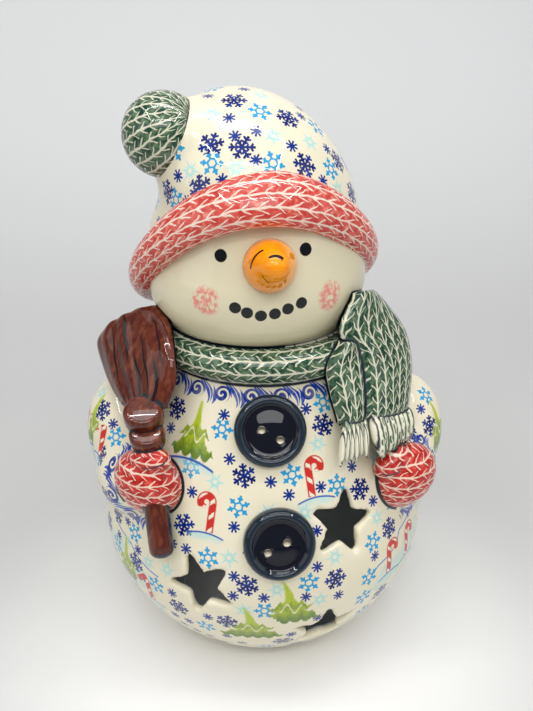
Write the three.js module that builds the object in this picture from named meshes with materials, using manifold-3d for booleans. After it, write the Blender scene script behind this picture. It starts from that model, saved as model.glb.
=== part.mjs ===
// Hollow glazed stoneware snowman, a candle lantern with star-shaped light holes.
// It is cast and fired as one piece: body, sleeves, mittens, head, hat, scarf, broom and
// buttons run together in the clay, and the wall is hollow and open underneath.
// Millimetres, +Z up, the face looks along -Y. The origin is at the middle of the footprint.

import * as THREE from 'three';
import { mergeVertices } from 'three/addons/utils/BufferGeometryUtils.js';
import Module from 'manifold-3d';

// Driving dimensions
const HEIGHT = 275;
const WALL = 5;
const BODY_RADIUS = 86;
const BODY_MIDDLE = 62;
const FOOT_RADIUS = 50;
const FOOT_STEP = 1.5;
const NECK_RADIUS = 46;
const NECK_HEIGHT = 168;
const HEAD_RADIUS = 52;
const HEAD_HALF_HEIGHT = 37;
const HEAD_MIDDLE = 194.5;
const HEAD_OFFSET = -3;
const BRIM_OFFSET = -4.5;
const BRIM_RADIUS = 51;
const BRIM_HALF_THICKNESS = 8.5;
const BRIM_HALF_HEIGHT = 10.4;
const BRIM_MIDDLE = 192.6;
const BRIM_DEPTH = 0.9;
const BRIM_RISE = 43;
const BRIM_DROP = 14;
const BRIM_LEAN = 0.45;
const BRIM_ROLL = 4.5;
const CROWN_RADIUS = 50.4;
const CROWN_OFFSET = -2;
const CROWN_FLOOR = 205;
const CROWN_LEAN = -9.5;
const CROWN_PINCH = 6;
const POMPOM_RADIUS = 18;
const BUTTON_RADIUS = 16;
const STAR_RADIUS = 17;
const ROUND_SIDES = 32;

const degrees = THREE.MathUtils.degToRad;
const wasm = await Module();
wasm.setup();

// A closed three.js geometry as a solid that can be joined and cut.
function solid(geometry) {
  const bare = geometry.clone();
  bare.deleteAttribute('normal');
  bare.deleteAttribute('uv');
  const merged = mergeVertices(bare, 1e-3);
  return new wasm.Manifold(new wasm.Mesh({
    numProp: 3,
    vertProperties: new Float32Array(merged.attributes.position.array),
    triVerts: new Uint32Array(merged.index.array),
  }));
}

function place(geometry, [x, y, z], [rx, ry, rz] = [0, 0, 0]) {
  const turn = new THREE.Euler(degrees(rx), degrees(ry), degrees(rz), 'XYZ');
  geometry.applyMatrix4(new THREE.Matrix4().makeRotationFromEuler(turn));
  geometry.translate(x, y, z);
  return geometry;
}

function ellipsoid([rx, ry, rz], across = 16, down = 10) {
  const ball = new THREE.SphereGeometry(1, across, down);
  ball.rotateX(degrees(90));
  ball.scale(rx, ry, rz);
  return ball;
}

// A round-ended limb from one point to another.
function limb(from, to, radius, across = 12) {
  const start = new THREE.Vector3(...from);
  const end = new THREE.Vector3(...to);
  const along = end.clone().sub(start);
  const capsule = new THREE.CapsuleGeometry(radius, along.length(), 4, across, 1);
  const turn = new THREE.Quaternion().setFromUnitVectors(
    new THREE.Vector3(0, 1, 0),
    along.clone().normalize(),
  );
  capsule.applyQuaternion(turn);
  const middle = start.add(end).multiplyScalar(0.5);
  capsule.translate(middle.x, middle.y, middle.z);
  return capsule;
}

// Turns an outline of [radius, height] points round the Z axis.
function turned(outline, across = 40) {
  const points = outline.map(([r, z]) => new THREE.Vector2(r, z));
  return new THREE.LatheGeometry(points, across).rotateX(degrees(90));
}

// The body's outer wall: a ball cut flat at the foot, drawn in to the neck over sloping shoulders.
const bodyCurve = new THREE.SplineCurve([
  [FOOT_RADIUS, 0],
  [66, 15],
  [79, 35],
  [BODY_RADIUS, BODY_MIDDLE],
  [81, 90],
  [71, 115],
  [60, 136],
  [50, 155],
  [NECK_RADIUS, NECK_HEIGHT],
].map(([r, z]) => new THREE.Vector2(r, z)));
const bodyOutline = bodyCurve.getPoints(12).map((point) => [point.x, point.y]);

function bodyRadius(height) {
  const above = bodyOutline.findIndex(([, z]) => z > height);
  if (above <= 0) {
    return above === 0 ? FOOT_RADIUS : NECK_RADIUS;
  }
  const [r0, z0] = bodyOutline[above - 1];
  const [r1, z1] = bodyOutline[above];
  return r0 + (r1 - r0) * (height - z0) / (z1 - z0);
}

// A point on the body's wall, lifted off it, at an angle from the front towards the viewer's right.
function onBody(angle, height, lift = 0) {
  const radius = bodyRadius(height) + lift;
  return [radius * Math.sin(degrees(angle)), -radius * Math.cos(degrees(angle)), height];
}

// How far the body's wall leans back from upright at a height, in degrees.
function bodyLean(height) {
  const step = 4;
  const rise = bodyRadius(height - step) - bodyRadius(height + step);
  return THREE.MathUtils.radToDeg(Math.atan2(rise, 2 * step));
}

// Puts a shape drawn in X and Y, facing +Z, onto the body's wall.
function faceOut(geometry, angle, height, lift) {
  geometry.rotateX(degrees(90 - bodyLean(height)));
  geometry.rotateZ(degrees(angle));
  geometry.translate(...onBody(angle, height, lift));
  return geometry;
}

// The way a slab's sides run: straight back and a little down into the figure.
const intoFigure = new THREE.Vector3(0, 0.92, -0.4);

// A rounded slab lying on the figure. Each row gives its left and right edge, seen from the front.
function strip(rows, depth, bulge, slices) {
  const slab = new THREE.BoxGeometry(2, 1, 1, 4, slices, 1);
  const at = slab.attributes.position;
  const left = new THREE.CatmullRomCurve3(rows.map(([edge]) => new THREE.Vector3(...edge)));
  const right = new THREE.CatmullRomCurve3(rows.map(([, edge]) => new THREE.Vector3(...edge)));
  for (let i = 0; i < at.count; i += 1) {
    const along = 0.5 - at.getY(i);
    const start = left.getPoint(along);
    const end = right.getPoint(along);
    const run = left.getTangent(along).add(right.getTangent(along));
    const across = end.clone().sub(start);
    const out = across.clone().cross(run).normalize().negate();
    const side = at.getX(i);
    const point = start.lerp(end, (side + 1) / 2);
    if (at.getZ(i) > 0) {
      point.addScaledVector(out, bulge * (1 - side * side));
    } else {
      point.addScaledVector(intoFigure, depth);
    }
    at.setXYZ(i, point.x, point.y, point.z);
  }
  return slab;
}

const body = solid(turned([[0, 0], ...bodyOutline, [0, NECK_HEIGHT]], ROUND_SIDES));

// Sleeve: a full shoulder and elbow, with the forearm brought round to the front.
function sleeve(side, reach, height) {
  const upper = place(ellipsoid([26, 29, 37], 18, 12), [side * (reach - 27), -4, height], [0, side * 16, 0]);
  const fore = limb([side * (reach - 21), -12, 96], [side * 60, -44, 101], 19);
  return solid(upper).add(solid(fore));
}

function mitten(side, middle, thumbMiddle, thumbTilt) {
  const hand = place(ellipsoid([17, 13, 17], 16, 10), middle, [18, 0, side * 38]);
  const thumb = place(ellipsoid([9.5, 6.5, 6], 12, 8), thumbMiddle, [0, thumbTilt, side * 20]);
  return solid(hand).add(solid(thumb));
}

// Head: a wide ball with full cheeks, as a superellipse turned round its axis.
const headSteps = 10;
const headOutline = [];
for (let step = 0; step <= headSteps; step += 1) {
  const angle = degrees(-90 + step * 180 / headSteps);
  const fullness = 2 / 2.4;
  headOutline.push([
    HEAD_RADIUS * Math.abs(Math.cos(angle)) ** fullness,
    HEAD_MIDDLE + HEAD_HALF_HEIGHT * Math.sign(Math.sin(angle)) * Math.abs(Math.sin(angle)) ** fullness,
  ]);
}
headOutline[0][0] = 0;
headOutline[headSteps][0] = 0;
const head = solid(turned(headOutline, 30).translate(HEAD_OFFSET, 0, 0));

// Hat brim: a fat roll that arches up over the face and hangs lower at the sides and back.
const roll = new THREE.TorusGeometry(BRIM_RADIUS, 1, 10, 36);
const rollAt = roll.attributes.position;
for (let i = 0; i < rollAt.count; i += 1) {
  const x = rollAt.getX(i);
  const y = rollAt.getY(i);
  const reach = Math.hypot(x, y);
  const forward = -y / reach;
  const out = BRIM_RADIUS + (reach - BRIM_RADIUS) * BRIM_HALF_THICKNESS;
  const up = rollAt.getZ(i) * BRIM_HALF_HEIGHT;
  const rise = (BRIM_RISE + BRIM_DROP) * ((1 + forward) / 2) ** 2 - BRIM_DROP;
  const slant = BRIM_ROLL * x / reach;
  const lean = forward > 0 ? up * BRIM_LEAN * forward : 0;
  rollAt.setXYZ(i, x / reach * out, (y / reach) * (out * BRIM_DEPTH - lean), up + rise + slant);
}
roll.translate(BRIM_OFFSET, 2, BRIM_MIDDLE);
const brim = solid(roll);

// Hat crown: a full dome standing in the brim, its soft top leaning over towards the pompom,
// and pinched in below it.
const dome = new THREE.SphereGeometry(1, 26, 13).rotateX(degrees(90));
const domeAt = dome.attributes.position;
for (let i = 0; i < domeAt.count; i += 1) {
  const level = Math.max(domeAt.getZ(i), -0.3);
  const across = Math.hypot(domeAt.getX(i), domeAt.getY(i));
  const radius = CROWN_RADIUS * Math.sqrt(1 - Math.abs(level) ** 2.4);
  const spread = across < 1e-6 ? 0 : radius / across;
  const shift = level > 0 ? CROWN_LEAN * level : 0;
  const left = across < 1e-6 ? 0 : Math.max(-domeAt.getX(i) / across, 0);
  const pinch = CROWN_PINCH * left ** 2 * Math.exp(-(((level - 0.36) / 0.17) ** 2));
  domeAt.setXYZ(
    i,
    CROWN_OFFSET + domeAt.getX(i) * spread + shift + pinch,
    2 + domeAt.getY(i) * spread,
    CROWN_FLOOR + (HEIGHT - CROWN_FLOOR) * level,
  );
}
const fold = ellipsoid([27, 23, 21], 18, 12);
place(fold, [-27, -8, 251], [0, -10, 0]);
const pompomAt = [-42.2, -13, 256.5];
const pompom = solid(place(ellipsoid([POMPOM_RADIUS, POMPOM_RADIUS, POMPOM_RADIUS], 18, 12), pompomAt));

// Nose: a blunt carrot pointing a little up.
const noseOutline = [[0, -8], [10.5, -8], [11, 0], [9.5, 8], [6.5, 16], [4.5, 20], [2.5, 22], [0, 22.5]];
const nose = turned(noseOutline, 16);
nose.rotateX(degrees(90 - 17));
nose.rotateZ(degrees(4));
nose.translate(0.5, -49, 209.5);

// Scarf band round the neck, and its two tails over the body's front on the viewer's right.
const scarfBand = solid(turned([
  [36, 154],
  [49, 155],
  [53.5, 158],
  [55, 163],
  [53, 168.5],
  [48.5, 171.5],
  [36, 172],
  [36, 154],
], 36));
const outerTail = strip([
  [[42, -38, 194], [51.5, -19, 188]],
  [[33, -48, 180], [69, -16, 168.5]],
  [[41.5, -48, 165.5], [73, -21, 153.5]],
  [[43.5, -53, 151.5], [71, -31, 143]],
  [[44, -59, 141], [68, -39, 134]],
  [[48.5, -65, 127], [67, -44, 122]],
], 20, 2.5, 8);
const innerTail = strip([
  [[33.5, -48.5, 174.5], [38.5, -45, 173.5]],
  [[26.8, -53.5, 165], [42.5, -46, 163.5]],
  [[28, -58, 155], [44, -50, 151]],
  [[32, -62.5, 141.5], [43, -57, 139.5]],
  [[29, -69, 126], [43.5, -64, 127]],
], 16, 2, 8);

// Broom: brush spreading upwards over the shoulder, two binding rings and the handle, which
// goes through the mitten.
const brush = strip([
  [[-77, -10, 168], [-52, -20, 184]],
  [[-82.5, -11, 161], [-45.5, -31, 179.5]],
  [[-80, -16, 149.5], [-43, -46, 170]],
  [[-73.5, -30, 143.5], [-42.5, -52, 159]],
  [[-64.5, -42, 137.5], [-47.5, -56, 148.5]],
], 18, 3, 8);
const rings = [
  [[-55, -53.5, 143.5], [8.8, 8, 5.6]],
  [[-53.7, -57, 135], [7.9, 7.6, 5]],
].map(([middle, radii]) => place(ellipsoid(radii, 12, 8), middle, [28, 0, 0]));
const handle = limb([-54, -55, 134], [-49.5, -72.5, 88], 5.6);

// Button: a round rim about a sunk face.
function button(angle, height) {
  const sunk = 2.2;
  const disc = turned([
    [0, -4],
    [BUTTON_RADIUS, -4],
    [BUTTON_RADIUS, 1.5],
    [BUTTON_RADIUS - 1.6, 3.6],
    [BUTTON_RADIUS - 3.4, 3.4],
    [BUTTON_RADIUS - 4.4, 3.4 - sunk],
    [0, 3.4 - sunk + 1],
  ], 20);
  return solid(faceOut(disc, angle, height, 1));
}

// Star-shaped light hole, cut through the wall.
function starHole(angle, height, turn) {
  const outline = new THREE.Shape();
  for (let corner = 0; corner < 10; corner += 1) {
    const reach = corner % 2 === 0 ? STAR_RADIUS : STAR_RADIUS * 0.42;
    const heading = degrees(90 + turn + corner * 36);
    const spot = [reach * Math.cos(heading), reach * Math.sin(heading)];
    if (corner === 0) {
      outline.moveTo(...spot);
    } else {
      outline.lineTo(...spot);
    }
  }
  outline.closePath();
  const prism = new THREE.ExtrudeGeometry(outline, { depth: 40, bevelEnabled: false });
  prism.translate(0, 0, -26);
  return solid(faceOut(prism, angle, height, 0));
}

// Hollow inside, open underneath, following the wall up through the neck into the hat.
const hollowOutline = bodyOutline.slice(1, -2).map(([r, z]) => [r - WALL, z]);
const hollow = solid(turned([
  [0, -5],
  [FOOT_RADIUS - WALL, -5],
  [FOOT_RADIUS - WALL, FOOT_STEP],
  ...hollowOutline,
  [NECK_RADIUS - WALL, NECK_HEIGHT],
  [HEAD_RADIUS - 9, 183],
  [HEAD_RADIUS - 7, 200],
  [CROWN_RADIUS - 8, 220],
  [34, 240],
  [23, 255],
  [10, 266],
  [0, 269],
], ROUND_SIDES));

let casting = body
  .add(head)
  .add(brim)
  .add(solid(dome))
  .add(solid(fold))
  .add(pompom)
  .add(solid(nose))
  .add(scarfBand)
  .add(solid(outerTail))
  .add(solid(innerTail))
  .add(solid(brush))
  .add(solid(handle))
  .add(button(0, 138))
  .add(button(2, 93));
for (const ring of rings) {
  casting = casting.add(solid(ring));
}
casting = casting
  .add(sleeve(-1, 91, 103))
  .add(sleeve(1, 94.5, 99))
  .add(mitten(-1, [-55, -56, 111], [-52.5, -61.5, 126.5], 4))
  .add(mitten(1, [64.5, -49, 105], [56, -56, 117], -32));
casting = casting.subtract(hollow);

const stars = [
  [-22.5, 68.5, 26],
  [24.5, 95.5, -17],
  [18.5, 37, 0],
  [100, 52, 6],
  [142, 84, -6],
  [180, 52, 0],
  [-142, 84, 8],
  [-100, 52, -6],
];
for (const [angle, height, turn] of stars) {
  casting = casting.subtract(starHole(angle, height, turn));
}

const fired = casting.getMesh();
const geometry = new THREE.BufferGeometry();
geometry.setAttribute('position', new THREE.BufferAttribute(new Float32Array(fired.vertProperties), 3));
geometry.setIndex(new THREE.BufferAttribute(new Uint32Array(fired.triVerts), 1));
geometry.computeVertexNormals();
geometry.computeBoundingBox();
const middle = geometry.boundingBox.getCenter(new THREE.Vector3());
geometry.translate(-middle.x, -middle.y, 0);

const glazedStoneware = new THREE.MeshStandardMaterial({
  color: new THREE.Color(0xe9e4d2),
  roughness: 0.12,
  metalness: 0,
});

const lantern = new THREE.Mesh(geometry, glazedStoneware);
lantern.name = 'snowman_lantern';

const snowman = new THREE.Group();
snowman.add(lantern);

export default snowman;
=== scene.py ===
import math

import bpy
import numpy as np
from mathutils import Matrix, Vector
from mathutils.bvhtree import BVHTree


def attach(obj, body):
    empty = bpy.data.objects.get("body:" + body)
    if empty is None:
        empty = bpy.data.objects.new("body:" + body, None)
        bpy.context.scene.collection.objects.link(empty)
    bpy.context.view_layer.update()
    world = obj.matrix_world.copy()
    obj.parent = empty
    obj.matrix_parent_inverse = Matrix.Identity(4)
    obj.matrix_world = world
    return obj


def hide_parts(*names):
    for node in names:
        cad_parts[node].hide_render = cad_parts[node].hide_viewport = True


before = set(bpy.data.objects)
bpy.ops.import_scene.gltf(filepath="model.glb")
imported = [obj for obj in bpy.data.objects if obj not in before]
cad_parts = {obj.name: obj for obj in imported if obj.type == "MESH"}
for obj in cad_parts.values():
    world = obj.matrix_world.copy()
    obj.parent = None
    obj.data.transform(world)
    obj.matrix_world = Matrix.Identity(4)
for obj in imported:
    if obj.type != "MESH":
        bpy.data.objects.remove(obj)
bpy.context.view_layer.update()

# The camera looks a little down on the figure from close by, just off its front, as the photograph does.
# Its place is measured from the body's axis; the photograph is 533 by 711 pixels.
MM = 0.001
AXIS = Vector((-2.25, 1.83, 0)) * MM
CAMERA_DISTANCE = 323 * MM
CAMERA_HEIGHT = 297 * MM
CAMERA_TURN = math.radians(-3.0)
CAMERA_PITCH = math.radians(25.0)
CAMERA_PAN = math.radians(0.33)
PHOTO_WIDTH = 533
PHOTO_HEIGHT = 711
FOCAL_PIXELS = 700
SENSOR = 36

lens = bpy.data.cameras.new("photo_camera")
lens.sensor_width = SENSOR
lens.lens = SENSOR * FOCAL_PIXELS / PHOTO_HEIGHT
lens.clip_start = 0.01
lens.dof.use_dof = False
camera = bpy.data.objects.new("photo_camera", lens)
bpy.context.scene.collection.objects.link(camera)
camera.location = AXIS + Vector((
    CAMERA_DISTANCE * math.sin(CAMERA_TURN),
    -CAMERA_DISTANCE * math.cos(CAMERA_TURN),
    CAMERA_HEIGHT,
))
camera.rotation_euler = (math.pi / 2 - CAMERA_PITCH, 0, CAMERA_TURN - CAMERA_PAN)
bpy.context.scene.camera = camera
bpy.context.view_layer.update()


def photo_ray(x, y):
    """The line of sight through a pixel of the photograph, as its start and its direction."""
    aim = Vector(((x - PHOTO_WIDTH / 2) / FOCAL_PIXELS, (PHOTO_HEIGHT / 2 - y) / FOCAL_PIXELS, -1))
    return camera.location.copy(), (camera.matrix_world.to_3x3() @ aim).normalized()


# The hollow body, cast in stoneware in one go with its two sleeves: a ball cut flat at the foot,
# drawn in to the neck. The light holes are cut through the 5 mm wall while the clay is soft.
WALL = 5
BODY_SIDES = 96
BODY_ROWS = (
    (50, 0), (59, 7), (66, 15), (73.2, 25), (79, 35), (83.2, 46), (85.6, 56), (86, 66), (84.6, 77),
    (81, 90), (76.4, 102), (71, 115), (65.6, 126), (60, 136), (54.8, 146), (50, 155), (46.6, 163), (45, 170),
)
FOOT_OPENING = 45.5
BODY_VOXEL = 1.5
CAST_VOXEL = 2.2
CAST_PASSES = 14
SLEEVES = ((-1, 91, 103), (1, 94.5, 99))
SHOULDER = (26, 29, 37)
SHOULDER_TILT = 16
FOREARM_RADIUS = 19
FOREARM_END = 17
STAR_REACH = 18.5
STAR_WAIST = 0.42
STARS = (
    (-22.5, 68.5, 26), (24.5, 95.5, -17), (18.5, 37, 0), (100, 52, 6),
    (142, 84, -6), (180, 52, 0), (-142, 84, 8), (-100, 52, -6),
)
STAR_CUT_START = -26
STAR_CUT_LENGTH = 40


def lay_aside():
    """Leaves nothing selected, so that the next piece is shaped alone."""
    if bpy.context.object and bpy.context.object.mode != "OBJECT":
        bpy.ops.object.mode_set(mode="OBJECT")
    bpy.ops.object.select_all(action="DESELECT")


def raise_rings(name, rows, sides, close=True):
    """Draws a form up through rings, each given as x, y, z, half width and half depth in mm."""
    lay_aside()
    x, y, z, wide, deep = rows[0]
    place = AXIS + Vector((x, y, z)) * MM
    bpy.ops.mesh.primitive_circle_add(vertices=sides, radius=MM, location=place)
    piece = bpy.context.object
    piece.name = name
    bpy.ops.object.transform_apply(location=True, rotation=True, scale=True)
    bpy.ops.object.mode_set(mode="EDIT")
    bpy.ops.mesh.select_all(action="SELECT")
    bpy.ops.transform.resize(value=(wide, deep, 1), center_override=place)
    for x, y, z, next_wide, next_deep in rows[1:]:
        next_place = AXIS + Vector((x, y, z)) * MM
        bpy.ops.mesh.extrude_region_move(TRANSFORM_OT_translate={"value": next_place - place})
        ratio = (next_wide / wide, next_deep / deep, 1)
        bpy.ops.transform.resize(value=ratio, center_override=next_place)
        place, wide, deep = next_place, next_wide, next_deep
    if close:
        bpy.ops.mesh.edge_face_add()
        bpy.ops.mesh.select_all(action="DESELECT")
        bpy.ops.mesh.select_non_manifold()
        bpy.ops.mesh.edge_face_add()
    bpy.ops.mesh.select_all(action="SELECT")
    bpy.ops.mesh.normals_make_consistent(inside=False)
    bpy.ops.object.mode_set(mode="OBJECT")
    return piece


def round_form(name, middle, radii, turn=(0, 0, 0), segments=48, rings=28):
    """A ball of clay, pressed to its three half sizes in mm and turned to its place."""
    lay_aside()
    bpy.ops.mesh.primitive_uv_sphere_add(segments=segments, ring_count=rings, radius=MM)
    piece = bpy.context.object
    piece.name = name
    bpy.ops.object.mode_set(mode="EDIT")
    bpy.ops.mesh.select_all(action="SELECT")
    bpy.ops.transform.resize(value=radii, center_override=(0, 0, 0))
    bpy.ops.object.mode_set(mode="OBJECT")
    piece.location = AXIS + Vector(middle) * MM
    piece.rotation_euler = [math.radians(angle) for angle in turn]
    bpy.ops.object.transform_apply(location=True, rotation=True, scale=True)
    return piece


def run_together(name, forms, voxel, passes):
    """Presses forms into one skin and wipes their joins smooth with a wet sponge."""
    lay_aside()
    for form in forms:
        form.select_set(True)
    bpy.context.view_layer.objects.active = forms[0]
    bpy.ops.object.join()
    piece = bpy.context.object
    piece.name = name
    skin = piece.modifiers.new("skin", "REMESH")
    skin.mode = "VOXEL"
    skin.voxel_size = voxel * MM
    bpy.ops.object.modifier_apply(modifier="skin")
    sponge(piece, passes)
    return piece


def sponge(piece, passes):
    """Wipes a piece's skin smoother, a little more with each pass."""
    wipe = piece.modifiers.new("wipe", "SMOOTH")
    wipe.factor = 0.5
    wipe.iterations = passes
    bpy.ops.object.modifier_apply(modifier="wipe")


def cut_away(piece, tool):
    """Cuts a tool's shape out of a piece and throws the tool away."""
    lay_aside()
    piece.select_set(True)
    bpy.context.view_layer.objects.active = piece
    cut = piece.modifiers.new("cut", "BOOLEAN")
    cut.operation = "DIFFERENCE"
    cut.solver = "EXACT"
    cut.object = tool
    bpy.ops.object.modifier_apply(modifier="cut")
    bpy.data.objects.remove(tool)


def body_radius(height):
    return float(np.interp(height, [row[1] for row in BODY_ROWS], [row[0] for row in BODY_ROWS]))


def body_place(angle, height, lift=0):
    """A turn that faces out of the body's wall at an angle from the front, with its place on the wall."""
    rise = body_radius(height - 4) - body_radius(height + 4)
    lean = math.atan2(rise, 8)
    radius = body_radius(height) + lift
    side = math.radians(angle)
    spot = AXIS + Vector((radius * math.sin(side), -radius * math.cos(side), height)) * MM
    turn = Matrix.Rotation(side, 4, "Z") @ Matrix.Rotation(math.pi / 2 - lean, 4, "X")
    return Matrix.Translation(spot) @ turn


def sleeve(side, reach, height):
    """A full shoulder on one side, with its forearm brought round to the front."""
    tilt = (0, side * SHOULDER_TILT, 0)
    upper = round_form("shoulder", (side * (reach - 27), -4, height), SHOULDER, tilt)
    elbow = Vector((side * (reach - 21), -12, 96))
    cuff = Vector((side * 60, -44, 101))
    run = cuff - elbow
    turn = Vector((0, 0, 1)).rotation_difference(run).to_euler()
    half_sizes = (FOREARM_RADIUS, FOREARM_RADIUS, run.length / 2 + FOREARM_END)
    fore = round_form("forearm", (elbow + cuff) / 2, half_sizes, map(math.degrees, turn))
    return [upper, fore]


def star_cutter(angle, height, turn):
    """A five-pointed star, long enough to go through the wall, set where a light hole comes."""
    lay_aside()
    bpy.ops.mesh.primitive_circle_add(vertices=10, radius=STAR_REACH * MM, fill_type="NGON")
    cutter = bpy.context.object
    for number, vertex in enumerate(cutter.data.vertices):
        if number % 2:
            vertex.co *= STAR_WAIST
    bpy.ops.object.mode_set(mode="EDIT")
    bpy.ops.mesh.select_all(action="SELECT")
    bpy.ops.transform.translate(value=(0, 0, STAR_CUT_START * MM))
    bpy.ops.mesh.extrude_region_move(TRANSFORM_OT_translate={"value": (0, 0, STAR_CUT_LENGTH * MM)})
    bpy.ops.mesh.select_all(action="SELECT")
    bpy.ops.mesh.normals_make_consistent(inside=False)
    bpy.ops.object.mode_set(mode="OBJECT")
    spin = Matrix.Rotation(math.radians(turn), 4, "Z")
    cutter.data.transform(body_place(angle, height) @ spin)
    return cutter


class Field:
    """A number or a colour that varies over the clay. Sums on it add Math nodes to its finish."""

    def __init__(self, glaze, socket):
        self.glaze = glaze
        self.socket = socket

    def math(self, operation, *terms):
        return self.glaze.node("Math", {"operation": operation}, dict(enumerate(terms)))

    def __add__(self, other):
        return self.math("ADD", self, other)

    def __radd__(self, other):
        return self.math("ADD", other, self)

    def __sub__(self, other):
        return self.math("SUBTRACT", self, other)

    def __rsub__(self, other):
        return self.math("SUBTRACT", other, self)

    def __mul__(self, other):
        return self.math("MULTIPLY", self, other)

    def __rmul__(self, other):
        return self.math("MULTIPLY", other, self)

    def __truediv__(self, other):
        return self.math("DIVIDE", self, other)

    def __rtruediv__(self, other):
        return self.math("DIVIDE", other, self)

    def __pow__(self, other):
        return self.math("POWER", self, other)

    def __neg__(self):
        return self.math("MULTIPLY", self, -1)

    def __abs__(self):
        return self.math("ABSOLUTE", self)

    def __and__(self, other):
        return self.math("MULTIPLY", self, other)

    def __or__(self, other):
        return self.math("MAXIMUM", self, other)

    def floor(self):
        return self.math("FLOOR", self)

    def part(self):
        """What is left of a number past its last whole one."""
        return self.math("FRACT", self)

    def sine(self):
        return self.math("SINE", self)

    def cosine(self):
        return self.math("COSINE", self)

    def turn_from(self, other):
        return self.math("ARCTAN2", self, other)

    def under(self, limit, soft=0.03):
        """A mask of where the number is under a limit, with a soft edge."""
        inputs = {"Value": self, "From Min": limit - soft, "From Max": limit + soft, "To Min": 1, "To Max": 0}
        return self.glaze.node("MapRange", {"interpolation_type": "SMOOTHSTEP"}, inputs)

    def over(self, limit, soft=0.03):
        return 1 - self.under(limit, soft)

    def away(self, spot):
        """How far this place is from a spot, in mm."""
        return self.glaze.node("VectorMath", {"operation": "DISTANCE"}, {0: self, 1: spot}, 1) / MM

    def across(self, way):
        """How far this place reaches along a direction, in mm from the frame's origin."""
        return self.glaze.node("VectorMath", {"operation": "DOT_PRODUCT"}, {0: self, 1: way}, 1) / MM

    def split(self):
        """The first and second number of a pair or place."""
        parts = self.glaze.node("SeparateXYZ", {}, {0: self})
        sockets = parts.socket.node.outputs
        return Field(self.glaze, sockets[0]), Field(self.glaze, sockets[1])


class Glaze:
    """A painted and glazed finish. Colour is laid on coat by coat; node() adds every node."""

    def __init__(self, name, ground, roughness=0.3):
        self.material = bpy.data.materials.new(name)
        self.material.use_nodes = True
        self.tree = self.material.node_tree
        self.shader = self.tree.nodes["Principled BSDF"]
        self.shader.inputs["Roughness"].default_value = roughness
        self.shader.inputs["Specular IOR Level"].default_value = 0.0
        self.shader.inputs["Coat Weight"].default_value = 1.0
        self.shader.inputs["Coat Roughness"].default_value = 0.035
        self.place = self.node("TexCoord", {}, {}, "Object")
        self.colour = ground

    def node(self, kind, settings, inputs, output=0):
        """Adds a node of a kind, with its settings first and then its sockets' values or links."""
        node = self.tree.nodes.new("ShaderNode" + kind)
        for name, value in settings.items():
            if name == "stops":
                for number, (spot, level) in enumerate(value):
                    stops = node.color_ramp.elements
                    stop = stops[number] if number < 2 else stops.new(spot)
                    stop.position = spot
                    stop.color = (level, level, level, 1)
            else:
                setattr(node, name, value)
        for name, value in inputs.items():
            if isinstance(value, Field):
                self.tree.links.new(value.socket, node.inputs[name])
            else:
                node.inputs[name].default_value = value
        return Field(self, node.outputs[output])

    def noise(self, scale, detail=2, stretch=(1, 1, 1), shift=(0, 0, 0)):
        """Cloudy variation from 0 to 1, about as wide as one part in scale of a metre."""
        inputs = {"Vector": self.place, "Location": shift, "Scale": stretch}
        mapped = self.node("Mapping", {}, inputs)
        return self.node("TexNoise", {}, {"Vector": mapped, "Scale": scale, "Detail": detail})

    def drawn(self, layer):
        """The two numbers of a piece's own flat drawing frame."""
        return self.node("UVMap", {"uv_map": layer}, {}).split()

    def weave(self):
        """How far to the side and up a point lay on its flat slab or strand."""
        return self.node("Attribute", {"attribute_name": "weave"}, {}, "Vector").split()

    def mark(self, name):
        """A number written on the piece's own points."""
        return self.node("Attribute", {"attribute_name": name}, {}, "Fac")

    def paint(self, mask, colour):
        """Lays a colour over what is painted already, where the mask is 1."""
        self.colour = self.node("Mix", {"data_type": "RGBA"}, {0: mask, 6: self.colour, 7: colour}, 2)

    def lay_on(self, piece):
        """Gives a piece this finish alone."""
        self.tree.links.new(self.colour.socket, self.shader.inputs["Base Color"])
        piece.data.materials.clear()
        piece.data.materials.append(self.material)

    def fire(self, *pieces, relief=None, height=0.0):
        """Ends the finish and lays it on some pieces of the figure. The fired glaze keeps a faint ripple."""
        ripple = self.noise(90, 1) * 0.05
        relief = ripple if relief is None else ripple + relief * height
        bump = self.node("Bump", {}, {"Strength": 0.6, "Distance": MM, "Height": relief})
        self.tree.links.new(bump.socket, self.shader.inputs["Normal"])
        for piece in pieces:
            self.lay_on(piece)
            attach(piece, "root")


def shade(red, green, blue):
    """A colour as a painter's chart gives it, from 0 to 255, as the light it sends back."""
    return tuple((level / 255) ** 2.2 for level in (red, green, blue)) + (1,)


def skin_of(*pieces):
    """The surface of some pieces, for finding places on it."""
    spots = []
    faces = []
    for piece in pieces:
        start = len(spots)
        spots.extend(vertex.co.copy() for vertex in piece.data.vertices)
        faces.extend([start + corner for corner in face.vertices] for face in piece.data.polygons)
    return BVHTree.FromPolygons(spots, faces)


def seen(skin, x, y):
    """The spot on a skin that shows at a pixel of the photograph."""
    return skin.ray_cast(*photo_ray(x, y))[0]


CREAM = shade(236, 229, 205)
CREAM_SHADE = shade(226, 217, 186)
SLATE = shade(42, 52, 60)


def cream_ground(glaze):
    """Cream clay under clear glaze, a little warmer where the glaze is thick."""
    inputs = {0: glaze.noise(28, 3), 6: CREAM, 7: CREAM_SHADE}
    glaze.colour = glaze.node("Mix", {"data_type": "RGBA"}, inputs, 2)


def stroke(glaze, points, width):
    """A mask along a brush stroke through some places."""
    mask = None
    for start, end in zip(points, points[1:]):
        way = (end - start).normalized()
        length = (end - start).length / MM
        reach = glaze.place.across(way) - start.dot(way) / MM
        off = ((glaze.place.away(start) ** 2 - reach * reach) | 0) ** 0.5
        line = off.under(width, 0.15) & reach.over(-width * 0.6, 0.2) & reach.under(length + width * 0.6, 0.2)
        mask = line if mask is None else mask | line
    return mask


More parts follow.
